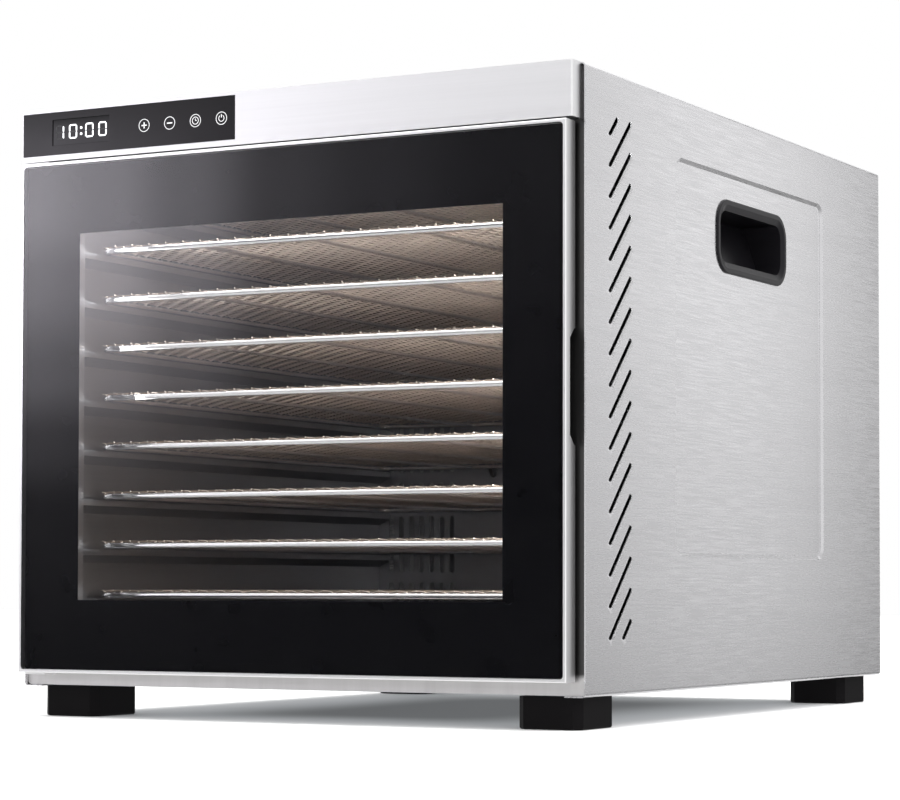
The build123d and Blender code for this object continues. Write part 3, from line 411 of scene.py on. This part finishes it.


# Painted shade: above the bottom rail, the frame's sides and top drop to 0.13 of their colour, where the door
# gap shades them.
shade_painted_above(frame_steel, 0.031, 0.13)
dress(frame_steel, "front_frame")

# ---------------------------------------------------------------- heater, fan and sensors
# Tubular heater with an oxidised sheath, a pressed aluminium fan on a plated shaft, a shaded-pole motor.
dress(brushed_metal("heater_sheath", (0.2, 0.17, 0.15), 0.5, (300, 300, 300), tone=0.3), "heater_element")
dress(brushed_metal("fan_aluminium", (0.72, 0.73, 0.75), 0.32, (220, 220, 900), tone=0.06), "fan_impeller")
dress(brushed_metal("motor_steel", (0.42, 0.43, 0.45), 0.4, (400, 400, 400), tone=0.1), "fan_motor")
dress(brushed_metal("probe_steel", (0.7, 0.7, 0.71), 0.22, (900, 30, 900)), "temperature_sensor")

# ---------------------------------------------------------------- boards
# Glass-fibre boards with green solder mask.
dress(gloss("green_solder_mask", (0.02, 0.13, 0.05), 0.25), "control_board", "power_board")

# ---------------------------------------------------------------- trays
# Bright stainless rims bent from round wire, with a plain-woven stainless mesh laid on and its wire ends
# wrapped over the rim. Each wire passes over one and under the next, so its height is a sine wave.
rim_steel = brushed_metal("tray_rim_steel", (0.86, 0.86, 0.87), 0.16, (60, 60, 60), streak=0.04, tone=0.03)
mesh_steel = brushed_metal("tray_mesh_steel", (0.8, 0.7, 0.62), 0.34, (300, 300, 300), streak=0.08, tone=0.14)
weave_pitch, wire_r, crimp = 0.0067, 0.00048, 0.00055
steps_per_pitch, wire_sides = 3, 4
mesh_inset, mesh_mid_up = 0.001, 0.0006


def wires(paths, up, radius, sides):
    """Tubes round nearly straight paths (w, n, 3). Ring point = path + radius * (cos a * lift + sin a *
    side), where lift is the up direction made square to the path and side is square to both."""
    tangent = np.gradient(paths, axis=1)
    tangent /= np.linalg.norm(tangent, axis=2, keepdims=True)
    lift = up - (tangent * up).sum(axis=2, keepdims=True) * tangent
    lift /= np.linalg.norm(lift, axis=2, keepdims=True)
    side = np.cross(tangent, lift)
    angle = np.linspace(0, 2 * np.pi, sides, endpoint=False)[None, None, :, None]
    rings = paths[:, :, None] + radius * (np.cos(angle) * lift[:, :, None] + np.sin(angle) * side[:, :, None])
    count, length = paths.shape[:2]
    index = np.arange(count * length * sides).reshape(count, length, sides)
    here, ahead = index[:, :-1], index[:, 1:]
    walls = np.stack([here, np.roll(here, -1, axis=2), np.roll(ahead, -1, axis=2), ahead], axis=-1)
    first, last = index[:, 0, ::-1], index[:, -1]
    caps = np.concatenate([first.reshape(-1, sides), last.reshape(-1, sides)])
    return rings.reshape(-1, 3), np.concatenate([walls.reshape(-1, 4), caps])


def weave(low, high, middle_z):
    """Two families of crimped wires between two corners. Along a wire, z = middle + crimp * sin(pi * s /
    pitch + phase), where the phase turns by half a wave from one wire to the next and between the
    families."""
    up = np.array([0.0, 0.0, 1.0])
    spans = [(low[0], high[0]), (low[1], high[1])]
    found = []
    start = 0
    for along, sign in ((0, 1.0), (1, -1.0)):
        across = 1 - along
        first, last = spans[along]
        count = int(round((spans[across][1] - spans[across][0]) / weave_pitch)) - 1
        places = np.linspace(spans[across][0], spans[across][1], count + 2)[1:-1]
        length = int(round((last - first) / weave_pitch)) * steps_per_pitch + 1
        s = np.linspace(0, 1, length)
        waves = (last - first) / weave_pitch
        paths = np.zeros((count, length, 3))
        paths[:, :, along] = first + s * (last - first)
        paths[:, :, across] = places[:, None]
        phase = np.pi * (np.arange(count) % 2)
        wave = np.sin(np.pi * s[None] * waves + phase[:, None] + np.pi / 2)
        paths[:, :, 2] = middle_z + sign * crimp * wave
        points, quads = wires(paths, up, wire_r, wire_sides)
        found.append((points, quads + start))
        start += len(points)
    return np.concatenate([f[0] for f in found]), np.concatenate([f[1] for f in found])


for number in range(1, 11):
    tray = f"tray_{number:02d}"
    dress(rim_steel, f"{tray}_rim")
    mesh_low, mesh_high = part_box(f"{tray}_mesh")
    first_corner = (mesh_low.x + mesh_inset, mesh_low.y + mesh_inset)
    last_corner = (mesh_high.x - mesh_inset, mesh_high.y - mesh_inset)
    points, quads = weave(first_corner, last_corner, mesh_low.z + mesh_mid_up)
    cloth = surface_mesh(f"{tray}_woven_mesh", points, quads, mesh_steel, tray)
    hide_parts(f"{tray}_mesh")

# ---------------------------------------------------------------- door
# A folded stainless tray with a bright rim, a toughened pane printed black round the window, an inner
# sheet with a silicone seal, and brass bushes for the hinge pins.
door_steel = brushed_metal("door_stainless", (0.93, 0.93, 0.935), 0.3, (900, 900, 12), streak=0.04,
                           height=0.006, tone=0.02)
dress(door_steel, "door_frame", "hinge_plate_top", "hinge_plate_bottom")
dress(brushed_metal("door_inner_stainless", (0.6, 0.6, 0.61), 0.34, (14, 900, 900)), "door_inner_panel")
dress(gloss("black_print", (0.0012, 0.0012, 0.002), 0.3, 0.1), "glass_border")
dress(moulded("seal_silicone", (0.05, 0.05, 0.052), 0.55, grain=900.0), "door_seal")
dress(brushed_metal("bush_brass", (0.72, 0.55, 0.27), 0.3, (600, 600, 600)), "door_bushes")


def clear_pane(name, see_through, tint, index):
    """Pane seen as mostly clear with a mirror-like skin: the part that isn't see-through holds the tint
    and the reflection, so a high refractive index keeps the reflection as strong as real glass."""
    material = bpy.data.materials.new(name)
    material.use_nodes = True
    shader = material.node_tree.nodes["Principled BSDF"]
    shader.inputs["Base Color"].default_value = (*tint, 1)
    shader.inputs["Roughness"].default_value = 0.02
    shader.inputs["IOR"].default_value = index
    shader.inputs["Alpha"].default_value = 1.0 - see_through
    material.surface_render_method = "BLENDED"
    return material


dress(clear_pane("door_pane", 0.9, (0.008, 0.008, 0.01), 4.3), "door_glass")

# ---------------------------------------------------------------- studio
# White floor with a painted soft shadow under the cabinet, a wide soft box overhead, graded cards for the
# door, the fascia and the side to mirror, and a bright surround.
floor_half = 6.0
floor_mesh = bpy.data.meshes.new("floor")
floor_mesh.from_pydata(
    [(-floor_half, -floor_half, 0), (floor_half, -floor_half, 0), (floor_half, floor_half, 0),
     (-floor_half, floor_half, 0)], [], [(0, 1, 2, 3)])
floor_paint = bpy.data.materials.new("floor_paint")
floor_paint.use_nodes = True
floor_tree = floor_paint.node_tree
floor_tree.nodes["Principled BSDF"].inputs["Roughness"].default_value = 0.9
floor_place = floor_tree.nodes.new("ShaderNodeTexCoord")
floor_split = floor_tree.nodes.new("ShaderNodeSeparateXYZ")
floor_tree.links.new(floor_place.outputs["Object"], floor_split.inputs["Vector"])


def beyond(axis, middle, half):
    """Distance past the cabinet's footprint along one axis: |place - middle| - half."""
    moved = floor_tree.nodes.new("ShaderNodeMath")
    moved.operation = "SUBTRACT"
    moved.inputs[1].default_value = middle
    size = floor_tree.nodes.new("ShaderNodeMath")
    size.operation = "ABSOLUTE"
    past = floor_tree.nodes.new("ShaderNodeMath")
    past.operation = "SUBTRACT"
    past.inputs[1].default_value = half
    floor_tree.links.new(floor_split.outputs[axis], moved.inputs[0])
    floor_tree.links.new(moved.outputs[0], size.inputs[0])
    floor_tree.links.new(size.outputs[0], past.inputs[0])
    return past.outputs[0]


# Painted shadow: under and just past the cabinet's footprint, the floor's colour falls from 0.92 to 0.3.
farther = floor_tree.nodes.new("ShaderNodeMath")
farther.operation = "SMOOTH_MAX"
farther.inputs[2].default_value = 0.08
painted_shadow_fade = floor_tree.nodes.new("ShaderNodeMapRange")
painted_shadow_fade.interpolation_type = "SMOOTHSTEP"
painted_shadow_fade.inputs["From Min"].default_value = -0.1
painted_shadow_fade.inputs["From Max"].default_value = 0.01
painted_shadow_fade.inputs["To Min"].default_value = 0.3
painted_shadow_fade.inputs["To Max"].default_value = 0.92
floor_tree.links.new(beyond("X", 0.0, 0.16), farther.inputs[0])
floor_tree.links.new(beyond("Y", 0.0, 0.23), farther.inputs[1])
floor_tree.links.new(farther.outputs[0], painted_shadow_fade.inputs["Value"])
floor_tree.links.new(painted_shadow_fade.outputs["Result"], floor_tree.nodes["Principled BSDF"].inputs["Base Color"])
floor_mesh.materials.append(floor_paint)
floor = bpy.data.objects.new("floor", floor_mesh)
bpy.context.scene.collection.objects.link(floor)
floor.visible_glossy = False


def soft_box(name, place, aim, size, power, colour=(1, 1, 1)):
    """Rectangular area light at place, turned to face aim; size is (width, height) in metres."""
    light = bpy.data.lights.new(name, "AREA")
    light.shape = "RECTANGLE"
    light.size, light.size_y = size
    light.energy = power
    light.color = colour
    holder = bpy.data.objects.new(name, light)
    bpy.context.scene.collection.objects.link(holder)
    holder.location = place
    holder.rotation_euler = (Vector(aim) - Vector(place)).to_track_quat("-Z", "Y").to_euler()
    return holder


soft_box("overhead", (0.0, -0.1, 2.6), (0, 0, 0.2), (3.2, 3.2), 62)
right_box = soft_box("right_box", (2.2, -0.9, 1.5), (0.2, 0, 0.2), (1.4, 1.4), 18)
right_box.visible_glossy = False


def graded_card(name, corners, peak, across, down, tint=(1, 1, 1)):
    """Glowing card. Radiance = peak * across(u) * down(v), where u runs from the first corner to the second
    and v from the first corner to the fourth; across and down are lists of (place, share), joined by
    eased lines."""
    mesh = bpy.data.meshes.new(name)
    mesh.from_pydata([tuple(c) for c in corners], [], [(0, 1, 2, 3)])
    layer = mesh.uv_layers.new(name="UVMap")
    layer.data.foreach_set("uv", [0, 0, 1, 0, 1, 1, 0, 1])
    material = bpy.data.materials.new(name)
    material.use_nodes = True
    tree = material.node_tree
    tree.nodes.remove(tree.nodes["Principled BSDF"])
    place = tree.nodes.new("ShaderNodeTexCoord")
    split = tree.nodes.new("ShaderNodeSeparateXYZ")
    tree.links.new(place.outputs["UV"], split.inputs["Vector"])
    shares = []
    for axis, stops in (("X", across), ("Y", down)):
        ramp = tree.nodes.new("ShaderNodeValToRGB")
        ramp.color_ramp.interpolation = "EASE"
        points = ramp.color_ramp.elements
        for spot, _ in stops[1:-1]:
            points.new(spot)
        for point, (spot, share) in zip(points, stops):
            point.position = spot
            point.color = (share, share, share, 1)
        tree.links.new(split.outputs[axis], ramp.inputs["Fac"])
        shares.append(ramp.outputs["Color"])
    product = tree.nodes.new("ShaderNodeMath")
    product.operation = "MULTIPLY"
    scaled = tree.nodes.new("ShaderNodeMath")
    scaled.operation = "MULTIPLY"
    scaled.inputs[1].default_value = peak
    glow = tree.nodes.new("ShaderNodeEmission")
    glow.inputs["Color"].default_value = (*tint, 1)
    tree.links.new(shares[0], product.inputs[0])
    tree.links.new(shares[1], product.inputs[1])
    tree.links.new(product.outputs["Value"], scaled.inputs[0])
    tree.links.new(scaled.outputs["Value"], glow.inputs["Strength"])
    tree.links.new(glow.outputs["Emission"], tree.nodes["Material Output"].inputs["Surface"])
    mesh.materials.append(material)
    card = bpy.data.objects.new(name, mesh)
    bpy.context.scene.collection.objects.link(card)
    card.visible_camera = False
    card.visible_diffuse = False
    card.visible_shadow = False
    return card


card_y = -2.75
graded_card(
    "front_left_card", [(-2.6, card_y, 0.9), (-0.6, card_y, 0.9), (-0.6, card_y, -0.1), (-2.6, card_y, -0.1)],
    7.4, [(0.0, 1.0), (0.26, 1.0), (0.351, 0.71), (0.427, 0.39), (0.52, 0.116), (0.615, 0.058), (0.727, 0.02),
          (1.0, 0.0)],
    [(0.0, 1.0), (0.162, 1.0), (0.276, 0.68), (0.44, 0.34), (0.56, 0.11), (0.686, 0.02), (1.0, 0.0)],
    (0.95, 0.91, 1.0))
graded_card(
    "front_strip_card",
    [(-3.2, card_y, 2.4), (-0.2, card_y, 2.4), (-0.2, card_y, 0.92), (-3.2, card_y, 0.92)], 1.2,
    [(0.0, 1.0), (0.5, 1.0), (0.56, 0.5), (0.6, 1.0), (0.7, 1.0), (1.0, 1.0)], [(0.0, 0.9), (1.0, 1.0)])
graded_card(
    "side_card", [(0.8, 0.3, 1.5), (0.8, 3.2, 1.5), (0.8, 3.2, -0.8), (0.8, 0.3, -0.8)], 1.82,
    [(0.0, 0.4), (0.22, 0.4), (0.31, 0.75), (0.38, 1.0), (0.44, 0.8), (0.52, 0.15), (0.6, 0.0), (1.0, 0.0)],
    [(0.0, 1.0), (0.45, 1.0), (0.6, 0.8), (0.72, 0.45), (1.0, 0.25)])

# Small strips just inside the door opening, so that the rods, the mesh and the liners catch light.
soft_box("inner_strip", (0.162, -0.238, 0.22), (-0.06, 0.05, 0.26), (0.02, 0.26), 0.45)
soft_box("inner_left_strip", (-0.145, -0.238, 0.27), (0.04, 0.03, 0.34), (0.02, 0.16), 0.03)
soft_box("inner_top_strip", (0.0, -0.238, 0.356), (0.0, -0.05, 0.15), (0.3, 0.015), 0.25)

world = bpy.data.worlds.new("studio")
world.use_nodes = True
bpy.context.scene.world = world
surround = world.node_tree
backdrop = surround.nodes["Background"]
backdrop.inputs["Color"].default_value = (1, 1, 1, 1)
ray = surround.nodes.new("ShaderNodeLightPath")
seen = surround.nodes.new("ShaderNodeBackground")
seen.inputs["Color"].default_value = (1, 1, 1, 1)
seen.inputs["Strength"].default_value = 1.0
choose = surround.nodes.new("ShaderNodeMixShader")
direction = surround.nodes.new("ShaderNodeTexCoord")
parts_of = surround.nodes.new("ShaderNodeSeparateXYZ")
upward = surround.nodes.new("ShaderNodeMapRange")
upward.interpolation_type = "SMOOTHSTEP"
upward.inputs["From Min"].default_value = 0.3
upward.inputs["From Max"].default_value = 0.75
upward.inputs["To Min"].default_value = 1.03
upward.inputs["To Max"].default_value = 1.9
surround.links.new(direction.outputs["Generated"], parts_of.inputs["Vector"])
surround.links.new(parts_of.outputs["Z"], upward.inputs["Value"])
surround.links.new(upward.outputs["Result"], backdrop.inputs["Strength"])
surround.links.new(ray.outputs["Is Camera Ray"], choose.inputs["Fac"])
surround.links.new(backdrop.outputs["Background"], choose.inputs[1])
surround.links.new(seen.outputs["Background"], choose.inputs[2])
surround.links.new(choose.outputs["Shader"], surround.nodes["World Output"].inputs["Surface"])
